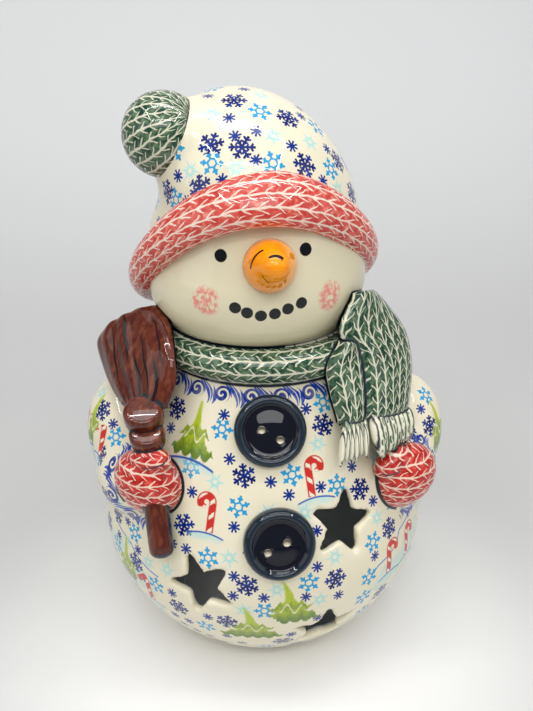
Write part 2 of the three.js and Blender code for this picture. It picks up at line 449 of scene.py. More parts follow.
def mark_edges(piece, *neighbours, backs=True):
    """Writes on a piece's points how far they stand off the forms beside it, in mm, below 0 inside."""
    skin = skin_of(*neighbours)
    farthest = 12
    clear = 2.5
    gaps = []
    for vertex in piece.data.vertices:
        spot, facing, _, gap = skin.find_nearest(vertex.co, farthest * MM)
        if spot is None:
            gaps.append(farthest)
            continue
        outside = gap > clear * MM or (vertex.co - spot).dot(facing) > 0
        below = (spot - vertex.co).dot(vertex.normal) < -0.7 * gap
        behind = not backs and spot.y < 0 and facing.y > 0.5
        buried = behind or (below and outside)
        gaps.append(farthest if buried else gap / MM if outside else -gap / MM)
    piece.data.attributes.new("edge", "FLOAT", "POINT").data.foreach_set("value", gaps)


SCROLL_STEP = 13.5
COBALT = shade(4, 48, 134)
COBALT_DEEP = shade(2, 18, 88)
SKY = shade(40, 152, 204)
AQUA = shade(158, 214, 216)
TREE_LIGHT = shade(176, 193, 48)
TREE_DARK = shade(70, 108, 50)
CANE_RED = shade(202, 50, 44)
# A cool grey painted over the inside of the wall: painted shade in the hollow.
INSIDE_PAINTED_SHADE = shade(186, 193, 194)
FLAKE_KINDS = 4
FLAKE_SIZES = (5.5, 2.9, 5.1, 4.9)
GOLDEN_TURN = math.radians(137.508)
BLANK = 3
COBALT_FLAKES = (
    (177, 408), (244, 476), (184, 525), (323, 425), (360, 489), (389, 528), (178.5, 607), (247, 586),
    (227, 622), (335.5, 579), (136, 562.5), (118, 513), (102, 410), (101, 456), (430, 426),
)
ASTERISKS = (
    (171, 428), (224, 415), (229.5, 459), (192, 492), (234, 527), (306, 409), (289, 495), (321, 487),
    (373, 501), (317, 531), (375, 556), (186, 549), (172, 593), (234, 576.5), (233, 596), (264, 598),
    (208, 617), (189, 621), (317.5, 567), (306, 597), (318, 618), (338.5, 595), (291, 634.5), (227, 636),
    (128, 521), (119.5, 535), (138, 550), (144, 578), (113, 424), (424, 379), (421, 409),
)
SKY_FLAKES = (
    (222, 429), (191, 467), (238.5, 507), (323, 402), (292, 475), (337, 485), (373, 542), (208, 558),
    (156, 585), (264.5, 611), (206, 626), (309, 583), (135, 533), (118, 543), (116, 437), (426, 395),
)
AQUA_FLAKES = (
    (215, 482), (318, 444), (377, 518), (335, 557), (229, 558), (167, 570), (277, 590), (244, 610.5),
    (320, 599.5), (127, 540.5), (148, 562), (101.5, 392),
)
SNOW_BANKS = (
    ((417, 500), (410, 509), (405, 520), (399, 530), (396, 545), (388, 556), (378, 566), (371, 577)),
    ((113, 505), (117, 520), (122, 530), (131, 543), (137, 556), (148, 569), (158, 577)),
)
TREE_SIZE = 13
CANE_SIZE = 8.9
TREES = ((196, 429), (291, 605), (252, 626), (127, 558), (93, 418), (438, 424))
CANES_LEFT = ((207, 512), (146, 586), (99.5, 436))
CANES_RIGHT = ((314, 476), (408, 537), (392, 555))
FAR_PICTURES = ((46, TREE_SIZE, 0), (92, CANE_SIZE, 1), (120, CANE_SIZE, 2))
FAR_PICTURE_COUNT = 9
FAR_PICTURE_START = 82
FAR_PICTURE_STEP = 24.5
PICTURE_REACH = 1.75
FLAKE_REACH = 1.25
FLAKE_GAP = 0.7
STAR_CLEARANCE = 14
OUTSIDE = 0.3


def stamp(spot, facing, size, kind, turn):
    """A drawing's place, the way it faces, its half size (given in mm), its kind and its turn."""
    return (np.array(spot), np.array(facing), size * MM, kind, turn)


def stamps_seen(skin, spots, size, kind, turn_step=40):
    """Stamps where a kind of drawing shows in the photograph."""
    found = []
    for number, (x, y) in enumerate(spots):
        spot, facing, _, _ = skin.ray_cast(*photo_ray(x, y))
        if spot is not None:
            found.append(stamp(spot, facing, size, kind, math.radians(turn_step * number)))
    return found


def stamps_strewn(skin, middle, low, high, count, taken, radial=False):
    """Flakes strewn over the rest of a piece, wherever they find room among what is drawn already."""
    found = []
    order = (1, 0, 3, 1, 2)
    for number in range(count):
        share = (number + 0.5) / count
        turn = number * GOLDEN_TURN
        aim = Vector((math.sin(turn), -math.cos(turn), 0))
        centre = AXIS + Vector(middle) * MM + Vector((0, 0, (low + (high - low) * share) * MM))
        if radial:
            centre = AXIS + Vector(middle) * MM
            rise = 1.35 * share - 0.35
            aim = aim * math.sqrt(1 - rise ** 2) + Vector((0, 0, rise))
        spot, facing, _, _ = skin.ray_cast(centre + aim * OUTSIDE, -aim)
        if spot is None:
            continue
        kind = order[len(found) % len(order)]
        size = FLAKE_SIZES[kind]
        place = np.array(spot)
        room = (size + FLAKE_GAP) * MM
        if all(np.linalg.norm(other[0] - place) > other[2] + room for other in taken + found):
            found.append(stamp(spot, facing, size, kind, turn))
    return found


def values_of(items, name, width, kind=float):
    """A property of all of a mesh's points, faces or corners, in rows of some width."""
    values = np.empty(width * len(items), dtype=kind)
    items.foreach_get(name, values)
    return values.reshape(-1, width) if width > 1 else values


def press_stamps(piece, layer, stamps, reach):
    """Gives each face of a piece the flat drawing frame of the stamp nearest to it.

    A frame counts in the stamp's half size from its middle, and each kind has its own band of 4.
    """
    mesh = piece.data
    spots = values_of(mesh.vertices, "co", 3)
    middles = values_of(mesh.polygons, "center", 3)
    facings = values_of(mesh.polygons, "normal", 3)
    corners = values_of(mesh.loops, "vertex_index", 1, np.int32)
    sides = values_of(mesh.polygons, "loop_total", 1, np.int32)
    nearest = np.full(len(middles), float(reach))
    owner = np.full(len(middles), -1)
    for number, (place, facing, size, _, _) in enumerate(stamps):
        gap = np.linalg.norm(middles - place, axis=1) / size
        gap[facings @ facing < 0.2] = reach
        closer = gap < nearest
        nearest[closer] = gap[closer]
        owner[closer] = number
    corner_owner = np.repeat(owner, sides)
    drawn = np.full((len(corners), 2), float(BLANK))
    for number, (place, facing, size, kind, turn) in enumerate(stamps):
        outward = Vector(facing)
        upward = Vector((0, 0, 1)) - outward * outward.z
        upward = Matrix.Rotation(turn, 3, outward) @ upward.normalized()
        rightward = upward.cross(outward)
        mine = corner_owner == number
        offset = spots[corners[mine]] - place
        drawn[mine, 0] = offset @ np.array(rightward) / size
        drawn[mine, 1] = offset @ np.array(upward) / size + 4 * kind
    mesh.uv_layers.new(name=layer).data.foreach_set("uv", drawn.ravel())


def kinds_of(glaze, layer):
    """A drawing frame's two numbers from its middle, and a mask for each kind."""
    x, tall = glaze.drawn(layer)
    kind = ((tall + 2) / 4).floor()
    masks = [abs(kind - number).under(0.5, 0.1) for number in range(FLAKE_KINDS)]
    return x, tall - kind * 4, masks


def nearest_arm(turn, arms):
    """Turns a heading into the one from the nearest of some evenly spread arms."""
    step = math.tau / arms
    return abs((turn / step + 0.5).part() - 0.5) * step


def paint_flakes(glaze, layer="Flakes"):
    """Flakes stamped in four kinds: deep cobalt, small star strokes, a sky blue ring and a pale spiky one."""
    x, y, (cobalt, strokes, sky, pale) = kinds_of(glaze, layer)
    edge = (glaze.noise(1100, 1) - 0.5) * 0.11
    reach = (x * x + y * y) ** 0.5 + edge
    turn = y.turn_from(x)
    six = nearest_arm(turn, 6)
    along = reach * six.cosine()
    aside = reach * six.sine() + edge * 0.4

    def twig(start, length, width):
        off = abs((along - start) * 0.866 - aside * 0.5)
        run = (along - start) * 0.5 + aside * 0.866
        return off.under(width) & run.under(length) & run.over(-0.02)

    deep = (aside.under(0.1) & along.under(1)) | twig(0.34, 0.30, 0.078) | twig(0.64, 0.36, 0.085)
    wet = glaze.noise(300, 2).under(0.52, 0.12)
    eight = nearest_arm(turn, 8)
    small = (reach * eight.sine()).under(0.15, 0.05) & (reach * eight.cosine()).under(0.95, 0.06)
    hexagon = reach * (math.pi / 6 - six).cosine()
    ring = hexagon.under(0.42) & hexagon.over(0.25)
    arm = aside.under(0.095) & along.under(0.95) & along.over(0.3)
    head_of_arm = (aside + abs(along - 0.7) * 1.3).under(0.3) | (aside + abs(along - 0.92) * 0.9).under(0.13)
    bright = ring | arm | head_of_arm
    pale_ring = reach.under(0.36) & reach.over(0.2)
    petal = (aside - (1.06 - along) * 0.17).under(0.0) & along.over(0.3)
    between = math.pi / 6 - six
    spike = (reach * between.sine() - (0.68 - reach) * 0.22).under(0.0) & reach.under(0.66) & reach.over(0.3)
    faint = pale_ring | petal | spike
    glaze.paint(pale & faint & (glaze.noise(420, 2) * 0.5 + 0.55), AQUA)
    glaze.paint(sky & bright, SKY)
    glaze.paint((cobalt & deep) | (strokes & small), COBALT)
    glaze.paint(cobalt & deep & wet & 0.8, COBALT_DEEP)


def paint_pictures(glaze, layer="Pictures"):
    """Fir trees in layers of leaf green, and striped canes, each standing on a little hill of snow."""
    x, y, (fir, cane_left, cane_right, fir_alone) = kinds_of(glaze, layer)
    rough = glaze.noise(700, 2) - 0.5
    hill = abs(y + 1.06 + x * x * 0.2) - 0.02
    bare = fir | cane_left | cane_right
    wash = (-y - 1.02 - x * x * 0.2).over(0, 0.04) & (-y).under(1.4, 0.25) & abs(x).under(0.95, 0.15)
    glaze.paint(bare & wash & (glaze.noise(260, 2) * 0.7 + 0.2), AQUA)
    glaze.paint(bare & hill.under(0.022) & abs(x).under(1.0, 0.05), shade(48, 84, 176))
    tier = y + (abs((x * 8).sine()) - 0.5) * 0.17 + rough * 0.18
    widths = ((0.0, 0.55), (0.10, 0.88), (0.38, 0.38), (0.41, 0.62), (0.58, 0.2), (0.66, 0.13), (1.0, 0.035))
    width = glaze.node("ValToRGB", {"stops": widths}, {0: tier * 0.5 + 0.5})
    spread = x * (1 - fir_alone * 0.25) + (y + 0.2) ** 2 * fir_alone * 0.14
    leaf = (abs(spread + rough * 0.05) - width).under(0.0, 0.04) & tier.over(-0.93, 0.05) & y.under(1, 0.04)
    trees = (fir | fir_alone) & leaf
    depths = ((0.0, 1.0), (0.16, 0.72), (0.40, 0.1), (0.42, 0.62), (0.60, 0.05), (0.8, 0.0))
    depth = glaze.node("ValToRGB", {"stops": depths}, {0: tier * 0.5 + 0.5 + rough * 0.2})
    glaze.paint(trees, TREE_LIGHT)
    glaze.paint(trees & depth, TREE_DARK)
    squiggle = abs(y + 0.2 + (x * 12).sine() * 0.2 + x * 0.2).under(0.035, 0.04) & abs(x).under(0.4)
    glaze.paint(trees & squiggle, CREAM)
    hook = x * (1 - cane_right * 2)
    bend = abs(((hook + 0.08) ** 2 + (y - 0.5) ** 2) ** 0.5 - 0.33)
    stem = abs(hook - 0.25 - y * 0.02).under(0.2) & y.under(0.5) & y.over(-1)
    top = bend.under(0.2) & (y.over(0.5) | (y.over(0.2) & hook.under(-0.08)))
    cane = (cane_left | cane_right) & (stem | top)
    glaze.paint(cane, CANE_RED)
    stripe = ((y * 1.35 - hook * 1.1 + rough * 0.2).part() - 0.5)
    inner = (abs(hook - 0.25 - y * 0.02).under(0.125) & y.under(0.5)) | (bend.under(0.125) & y.over(0.2))
    glaze.paint(cane & inner & abs(stripe).under(0.15, 0.06), CREAM)


def paint_scrolls(glaze, layer="Border"):
    """A border of cobalt curls, each under two crests that sweep over to the next one like a wave."""
    turn, down = glaze.drawn(layer)
    wander = (glaze.noise(180, 1) - 0.5) * 1.4
    x = (turn.part() - 0.4) * SCROLL_STEP + wander
    y = 5.6 - down
    reach = (x * x + y * y) ** 0.5
    heading = y.turn_from(-x) / math.tau
    wound = abs((reach / 2.7 - heading + 0.45).part() - 0.5)
    curl = (wound - 0.33).under(0, 0.06) & reach.under(3.7, 0.2)
    crest_x = (turn + 0.58).part() * SCROLL_STEP - SCROLL_STEP / 2 + wander
    bend = crest_x + y * 0.5 + (y * y) * 0.09
    crest = (abs(bend) - 1.9 + abs(y - 1) * 0.26).under(0, 0.15) & abs(y).under(5.2, 0.2)
    second = (abs(bend - 2.9 - y * 0.2) - 1.25 + abs(y + 1.2) * 0.27).under(0, 0.15)
    third = (abs(bend + 2.8 - y * 0.2) - 1.0 + abs(y - 2.4) * 0.27).under(0, 0.15)
    vein = abs(bend - 0.2).over(0.2, 0.16)
    wash = glaze.noise(260, 2)
    here = down.under(10.8) & down.over(0.2)
    glaze.paint(here & ((crest & vein) | second | third) & (wash * 0.7 + 0.6), shade(26, 64, 160))
    glaze.paint(here & curl & (wash * 0.5 + 0.7), COBALT)


def paint_body():
    """Draws the pictures and flakes on the body, and paints the inside of the wall grey as painted shade in
    the hollow.
    """
    depths = []
    for vertex in body.data.vertices:
        x, y, z = (vertex.co - AXIS) / MM
        depths.append(body_radius(z) - math.hypot(x, y))
    body.data.attributes.new("depth", "FLOAT", "POINT").data.foreach_set("value", depths)
    skin = skin_of(body)
    pictures = stamps_seen(skin, TREES[:1] + TREES[3:], TREE_SIZE, 0, 0)
    pictures += stamps_seen(skin, TREES[1:3], TREE_SIZE, 3, 0)
    pictures += stamps_seen(skin, CANES_LEFT, CANE_SIZE, 1, 0)
    pictures += stamps_seen(skin, CANES_RIGHT, CANE_SIZE, 2, 0)
    for number in range(FAR_PICTURE_COUNT):
        turn = math.radians(FAR_PICTURE_START + FAR_PICTURE_STEP * number)
        height, size, kind = FAR_PICTURES[number % len(FAR_PICTURES)]
        aim = Vector((math.sin(turn), -math.cos(turn), 0))
        spot, facing, _, _ = skin.ray_cast(AXIS + Vector((0, 0, height * MM)) + aim * OUTSIDE, -aim)
        pictures.append(stamp(spot, facing, size, kind, 0))
    press_stamps(body, "Pictures", pictures, PICTURE_REACH)
    flakes = stamps_seen(skin, COBALT_FLAKES, FLAKE_SIZES[0], 0)
    flakes += stamps_seen(skin, ASTERISKS, FLAKE_SIZES[1], 1)
    flakes += stamps_seen(skin, SKY_FLAKES, FLAKE_SIZES[2], 2)
    flakes += stamps_seen(skin, AQUA_FLAKES, FLAKE_SIZES[3], 3)
    holes = []
    for angle, height, _ in STARS:
        holes.append((np.array(body_place(angle, height).translation), None, STAR_CLEARANCE * MM))
    flakes += stamps_strewn(skin, (0, 0, 0), 12, 142, 1500, flakes + pictures + holes)
    press_stamps(body, "Flakes", flakes, FLAKE_REACH)
    glaze = Glaze("cream_glaze_painted", CREAM)
    cream_ground(glaze)
    for points in SNOW_BANKS:
        bank = [seen(skin, *spot) for spot in points]
        beside = [(x + math.copysign(9, x - PHOTO_WIDTH // 2), y + 7) for x, y in points]
        inner = [spot for spot in (seen(skin, *pixel) for pixel in beside) if spot is not None]
        glaze.paint(stroke(glaze, inner, 6.5) & (glaze.noise(60, 3) * 0.6 + 0.1), AQUA)
        glaze.paint(stroke(glaze, bank, 0.4), shade(60, 124, 196))
    paint_flakes(glaze)
    paint_pictures(glaze)
    paint_scrolls(glaze)
    glaze.paint(glaze.mark("edge").under(1.15, 0.3), SLATE)
    # The inside of the wall is painted a cool grey: painted shade, so the hollow looks dark through the star
    # holes.
    glaze.paint(glaze.mark("depth").over(WALL - 1.3, 0.5), INSIDE_PAINTED_SHADE)
    glaze.fire(body)


body = raise_rings("body", [(0, 0, z, r, r) for r, z in BODY_ROWS], BODY_SIDES)
sleeves = [form for place in SLEEVES for form in sleeve(*place)]
body = run_together("body", [body, *sleeves], CAST_VOXEL, CAST_PASSES)
floor_cut = raise_rings("floor_cut", [(0, 0, -20, 90, 90), (0, 0, 0, 90, 90)], 32)
cut_away(body, floor_cut)
hollow_rows = [(0, 0, z, FOOT_OPENING, FOOT_OPENING) for z in (-8, 1)]
hollow_rows += [(0, 0, z, r - WALL, r - WALL) for r, z in BODY_ROWS[1:-1]]
cut_away(body, raise_rings("hollow", hollow_rows, BODY_SIDES))
for angle, height, turn in STARS:
    cut_away(body, star_cutter(angle, height, turn))
body = run_together("body", [body], BODY_VOXEL, 3)
bpy.ops.object.shade_smooth()
paint_body()
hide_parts("snowman_lantern")


# The head, a wide ball of the same stoneware with full cheeks. Its chin rests on the scarf, and the
# hat is drawn down over it. The face is painted on in black and pink under the clear glaze.
HEAD_MIDDLE = (-3, 0, 194.5)
HEAD_RADIUS = 52
HEAD_HALF_HEIGHT = 37
HEAD_FULLNESS = 2 / 2.4
HEAD_STEPS = 48
HEAD_SIDES = 144
FOREHEAD_START = 196
FOREHEAD = (
    (-2.6, 0.4, 199, 51.6), (-2, 1.2, 204, 50.9), (-1.6, 1.6, 209, 50.2), (-1.3, 1.9, 214, 49.6),
    (-1.3, 2, 219, 48.7), (-1.6, 2, 224, 47.4), (-2, 2, 229, 45.4), (-2, 2, 234, 42), (-2, 2, 238, 36),
    (-2, 2, 241, 26), (-2, 2, 242.5, 12), (-2, 2, 243, 1),
)


def ball_rows(middle, radius, half_height, fullness, steps):
    """Rings of a full-cheeked ball, from its bottom to its top."""
    x, y, z = middle
    rows = []
    for step in range(steps + 1):
        angle = math.radians(-88 + 176 * step / steps)
        wide = radius * math.cos(angle) ** fullness
        level = math.copysign(abs(math.sin(angle)) ** fullness, angle)
        rows.append((x, y, z + half_height * level, wide, wide))
    return rows


CHEEK_PINK = shade(226, 120, 112)
EYE_BLACK = shade(5, 10, 18)
EYES = (((220.6, 255.6), 2.75), ((305.7, 249.3), 2.75))
MOUTH = ((235, 308), (247, 313), (261, 316), (275, 314), (288, 309), (301.5, 303))
MOUTH_DOT = 2.55
CHEEKS = ((205, 300.6), (330, 296))
CHEEK_SIZE = 6.1

ball = ball_rows(HEAD_MIDDLE, HEAD_RADIUS, HEAD_HALF_HEIGHT, HEAD_FULLNESS, HEAD_STEPS)
head_rows = [row for row in ball if row[2] < FOREHEAD_START]
head_rows += [(x, y, z, r, r) for x, y, z, r in FOREHEAD]
head = raise_rings("head", head_rows, HEAD_SIDES)
bpy.ops.object.shade_smooth()


def paint_face():
    """Dabs on the cheeks with a sponge, and the eyes and the mouth's dots with a brush."""
    skin = skin_of(head)
    glaze = Glaze("cream_glaze_face", CREAM)
    cream_ground(glaze)
    # The face is tinted a deeper, warmer cream all over. It is deeper still on its lower half, where it turns
    # under towards the scarf: painted shade there.
    low = glaze.place.across((0, 0, 1))
    glaze.paint(low.under(182, 14) * 0.3 + 0.35, shade(214, 204, 164))
    sponge_marks = glaze.noise(620, 3)
    for spot in CHEEKS:
        edge = glaze.place.away(seen(skin, *spot)) + (glaze.noise(210, 2) - 0.5) * 3.6
        glaze.paint(edge.under(CHEEK_SIZE, 1.3) & sponge_marks.over(0.47, 0.13) * 0.85, CHEEK_PINK)
    wander = (glaze.noise(330, 1) - 0.5) * 0.3
    for spot in MOUTH:
        glaze.paint((glaze.place.away(seen(skin, *spot)) + wander).under(MOUTH_DOT, 0.16), EYE_BLACK)
    for spot, size in EYES:
        glaze.paint((glaze.place.away(seen(skin, *spot)) + wander).under(size, 0.16), EYE_BLACK)
    glaze.paint(glaze.mark("edge").under(1.25, 0.35), SLATE)
    glaze.fire(head)


paint_face()


# The nose, a blunt carrot of clay stuck to the face and pointing a little up. It is glazed in orange
# that runs darker round its root, with three thin black lines.
NOSE_PLACE = (0.5, -49, 209.5)
NOSE_RISE = 17
NOSE_TURN = 4
NOSE_ORANGE = shade(255, 150, 4)
NOSE_TIP = shade(255, 162, 12)
NOSE_SHADE = shade(196, 112, 52)
NOSE_LINES = (
    ((263.5, 250), (250.6, 269), 0.62), ((269, 258), (283, 259.5), 0.5), ((262, 275), (269, 282.5), 0.25),
)
NOSE_ROWS = (
    (10.6, -8), (11.2, -3), (11.3, 0), (10.7, 3), (9.9, 6.5), (8.6, 10.5), (7.2, 14), (6.1, 17),
    (5.2, 19.2), (4.0, 21), (2.5, 22.1), (0.8, 22.6),
)


def nose_tip(size):
    """The turn that tips an upright carrot over, so that it stands out of the face."""
    aside = Matrix.Rotation(math.radians(NOSE_TURN), size, "Z")
    return aside @ Matrix.Rotation(math.radians(90 - NOSE_RISE), size, "X")


def paint_nose():
    """Clouds the orange and draws each line round the carrot between the two places it shows at."""
    skin = skin_of(nose)
    glaze = Glaze("orange_glaze", NOSE_ORANGE)
    tip = nose_tip(3)
    root = AXIS + Vector(NOSE_PLACE) * MM
    side, up, out = (glaze.place.across(way) - root.dot(way) / MM for way in tip.col)
    heading = (-up).turn_from(-side)
    cloud = glaze.noise(160, 3)
    glaze.paint(out.over(10, 6) * 0.7 & cloud.over(0.45, 0.2), NOSE_TIP)
    glaze.paint((out + (cloud - 0.5) * 7).under(2.5, 4) * 0.65, NOSE_SHADE)
    glaze.paint(glaze.noise(240, 2, (1, 1, 3)).over(0.6, 0.1) * 0.3, shade(240, 120, 10))
    for start, end, width in NOSE_LINES:
        ends = []
        middle = seen(skin, (start[0] + end[0]) / 2, (start[1] + end[1]) / 2)
        for spot in (start, end):
            place = tip.transposed() @ (seen(skin, *spot) - root) / MM
            ends.append((math.atan2(-place.y, -place.x), place.z))
        (first, low), (last, high) = sorted(ends)
        share = (heading - first) / (last - first)
        body_of_line = abs(share - 0.5)
        level = out - (share * (high - low) + low)
        line = abs(level).under(width * 1.2, 0.14) & body_of_line.under(0.5, 0.04)
        glaze.paint(line & glaze.place.away(middle).under(9), EYE_BLACK)
    glaze.paint(glaze.mark("edge").under(0.5, 0.4) * 0.5, NOSE_SHADE)
    glaze.fire(nose)


nose = raise_rings("nose", [(0, 0, z, r, r) for r, z in NOSE_ROWS], 40)
nose.data.transform(
    Matrix.Translation(AXIS + Vector(NOSE_PLACE) * MM) @ nose_tip(4) @ Matrix.Translation(-AXIS)
)
bpy.ops.object.shade_smooth()
paint_nose()


# The hat's brim, a fat roll of clay laid round the head, arching up over the face and hanging lower
# at the sides and back. It is painted as red knitting, with the stitches left in cream.
BRIM_RADIUS = 51
BRIM_HALF_THICKNESS = 8.5
BRIM_HALF_HEIGHT = 10.4
BRIM_MIDDLE = (-4.5, 2, 192.6)
BRIM_DEPTH = 0.9
BRIM_RISE = 43
BRIM_DROP = 14
BRIM_LEAN = 0.45
BRIM_SLANT = 4.5
BRIM_KNIT_ROWS = 13
BRIM_STITCHES = 54
YARN_HEIGHT = 0.12
BRIM_RED = shade(208, 84, 74)
BRIM_DARK = shade(184, 44, 42)
BRIM_PALE = shade(230, 150, 130)
KNIT_CREAM = shade(240, 224, 206)


def brim_rise(forward):
    """How far the brim arches up, from -1 at the back of the head to 1 at its front."""
    return (BRIM_RISE + BRIM_DROP) * ((1 + forward) / 2) ** 2 - BRIM_DROP


def knit(glaze, across, along, width=0.08, wobble=0.4):
    """Knitting brushed row by row: a pale spine down each row, and branches that lean off it both ways."""
    across = across + (glaze.noise(200, 2) - 0.5) * wobble
    along = along + (glaze.noise(200, 2, shift=(3, 5, 7)) - 0.5) * wobble * 1.8
    row = across.floor()
    reach = abs(across - row - 0.5)
    thin = width + (glaze.noise(420, 1) - 0.5) * width
    spine = (reach - thin).under(0, 0.04)
    stagger = (row * 0.618).part()
    lean = (along - reach * 1.3 + stagger).part()
    branch = (abs(lean - 0.5) - thin * 1.1 + reach * 0.04).under(0, 0.045) & reach.under(0.5, 0.03)
    return spine | branch


lay_aside()
bpy.ops.mesh.primitive_torus_add(
    major_segments=160, minor_segments=40, major_radius=BRIM_RADIUS * MM, minor_radius=MM,
)
brim = bpy.context.object
brim.name = "hat_brim"
for vertex in brim.data.vertices:
    x, y, up = vertex.co / MM
    reach = math.hypot(x, y)
    forward = -y / reach
    out = BRIM_RADIUS + (reach - BRIM_RADIUS) * BRIM_HALF_THICKNESS
    up *= BRIM_HALF_HEIGHT
    lean = up * BRIM_LEAN * max(forward, 0)
    place = Vector((
        x / reach * out,
        y / reach * (out * BRIM_DEPTH - lean),
        up + brim_rise(forward) + BRIM_SLANT * x / reach,
    ))
    vertex.co = AXIS + (place + Vector(BRIM_MIDDLE)) * MM
bpy.ops.object.shade_smooth()

glaze = Glaze("red_knit", BRIM_RED)
along_brim, round_brim = glaze.drawn("UVMap")
glaze.paint(glaze.noise(330, 3).over(0.52, 0.1) * 0.75, BRIM_DARK)
glaze.paint(glaze.noise(410, 2, shift=(1, 2, 3)).over(0.6, 0.09) * 0.7, BRIM_PALE)
yarn = knit(glaze, round_brim * BRIM_KNIT_ROWS, along_brim * BRIM_STITCHES)
glaze.paint(yarn * 0.9, KNIT_CREAM)
glaze.fire(brim, relief=yarn, height=YARN_HEIGHT)


# The hat's crown, a soft dome of clay that leans over to the pompom and folds where it turns down.
# It sits on the head inside the brim's roll, glazed cream and stamped with the body's flakes.
CROWN_RADIUS = 50.4
CROWN_OFFSET = -2
CROWN_FLOOR = 205
CROWN_LEAN = -9.5
CROWN_TOP = 275
CROWN_BASE = ((180, 49), (188, 51), (196, 51.2))
CROWN_STEPS = 28
CROWN_SQUARENESS = 2.4
CROWN_PINCH = 6
PINCH_LEVEL = 0.36
PINCH_SPREAD = 0.17
CROWN_DRAW_IN = 7.5
HEAD_DRAW_IN = 5
DRAW_IN_OVER = 8
TURNED_DOWN = ((-27, -8, 251), (27, 23, 21), (0, -10, 0))
CROWN_FLAKES = (
    (
        (234, 100), (288, 118), (211, 145), (242, 147), (305, 165), (338, 161), (352, 193), (199.5, 187),
        (168, 192),
    ),
    (
        (208, 96), (244, 89), (301, 116), (229, 118), (257, 131), (235, 136), (256, 160), (292, 146),
        (327, 149), (323, 181), (222, 180), (178, 176), (187, 201.5),
    ),
    (
        (213, 89), (260, 111), (316, 127), (212, 163), (273, 163), (331, 169), (158, 199), (176, 200),
    ),
    (
        (212, 114), (261, 95), (273, 136), (236, 168), (310, 142), (338, 189), (190, 171),
    ),
)

crown_rows = [(CROWN_OFFSET, 2, height, wide, wide) for height, wide in CROWN_BASE]
for step in range(CROWN_STEPS + 1):
    level = math.sin(math.radians(88 * step / CROWN_STEPS))
    wide = CROWN_RADIUS * math.sqrt(1 - level ** CROWN_SQUARENESS)
    height = CROWN_FLOOR + (CROWN_TOP - CROWN_FLOOR) * level
    crown_rows.append((CROWN_OFFSET + CROWN_LEAN * level, 2, height, wide, wide))
crown = raise_rings("hat_crown", crown_rows, 96)
turned_down = round_form("turned_down", *TURNED_DOWN)
crown = run_together("hat_crown", [crown, turned_down], 1.6, 16)


def from_brim(vertex):
    """A point's place and reach from the brim's middle, and how far it is above the brim's ring."""
    x, y, z = (vertex.co - AXIS) / MM - Vector(BRIM_MIDDLE)
    reach = max(math.hypot(x, y), 1)
    return x, y, reach, z - brim_rise(-y / reach) - BRIM_SLANT * x / reach


for vertex in head.data.vertices:
    x, y, reach, above = from_brim(vertex)
    draw_in = HEAD_DRAW_IN * min(max(above / DRAW_IN_OVER, 0), 1) / reach
    vertex.co -= Vector((x * draw_in, y * draw_in, 0)) * MM
for vertex in crown.data.vertices:
    x, y, reach, above = from_brim(vertex)
    draw_in = CROWN_DRAW_IN * min(max(-above / DRAW_IN_OVER, 0), 1) / reach
    level = (vertex.co.z / MM - CROWN_FLOOR) / (CROWN_TOP - CROWN_FLOOR)
    fold = math.exp(-(((level - PINCH_LEVEL) / PINCH_SPREAD) ** 2))
    pinch = CROWN_PINCH * max(-x / reach, 0) ** 2 * fold
    vertex.co += Vector((pinch - x * draw_in, -y * draw_in, 0)) * MM
bpy.ops.object.shade_smooth()


def paint_crown():
    """Stamps the crown with the flakes that show in the photograph, and with more round its back."""
    skin = skin_of(crown)
    stamps = []
    for kind, spots in enumerate(CROWN_FLAKES):
        stamps += stamps_seen(skin, spots, FLAKE_SIZES[kind], kind)
    stamps += stamps_strewn(skin, (-4, 2, 200), 0, 0, 700, stamps, radial=True)
    press_stamps(crown, "Flakes", stamps, FLAKE_REACH)
    glaze = Glaze("cream_glaze_flakes", CREAM)
    cream_ground(glaze)
    paint_flakes(glaze)
    glaze.fire(crown)


paint_crown()


# The hat's pompom, a ball of clay pressed into the end of the crown where it turns down. It is
# painted as green knitting, like the scarf.
POMPOM_MIDDLE = (-42.2, -13, 256.5)
POMPOM_RADIUS = 18
POMPOM_TURN = (35, 55, 0)
GREEN_DARK = shade(26, 58, 46)
GREEN = shade(60, 92, 68)
GREEN_PALE = shade(118, 140, 108)


def green_yarn(name, across, along, edge_width=1.1, width=0.08, layer=None):
    """Dark and middle green brushed together under pale knitting."""
    glaze = Glaze(name, GREEN)
    side, up = glaze.drawn(layer) if layer else glaze.weave()
    glaze.paint(glaze.noise(300, 3).over(0.48, 0.08) * 0.9, GREEN_DARK)
    glaze.paint(glaze.noise(380, 2, shift=(2, 1, 5)).over(0.55, 0.1) * 0.6, GREEN_PALE)
    yarn = knit(glaze, across(side, up), along(side, up), width)
    glaze.paint(yarn * 0.92, shade(222, 218, 194))
    glaze.paint(glaze.mark("edge").under(edge_width, 0.35), SLATE)
    return glaze, yarn


pompom = round_form("pompom", POMPOM_MIDDLE, [POMPOM_RADIUS] * 3, POMPOM_TURN)
bpy.ops.object.shade_smooth()
glaze, yarn = green_yarn(
    "green_knit_pompom", lambda u, v: u * 20, lambda u, v: v * 13, 0.5, 0.085, layer="UVMap",
)
glaze.fire(pompom, relief=yarn, height=YARN_HEIGHT)


# The scarf's band, a roll of clay laid round the neck under the chin, over the join of head and body.
# It is painted as green knitting, with its rows running round the neck.
SCARF_RADIUS = 46.5
SCARF_HALF_THICKNESS = 8.5
SCARF_HALF_HEIGHT = 7.9
SCARF_HEIGHT = 162.6

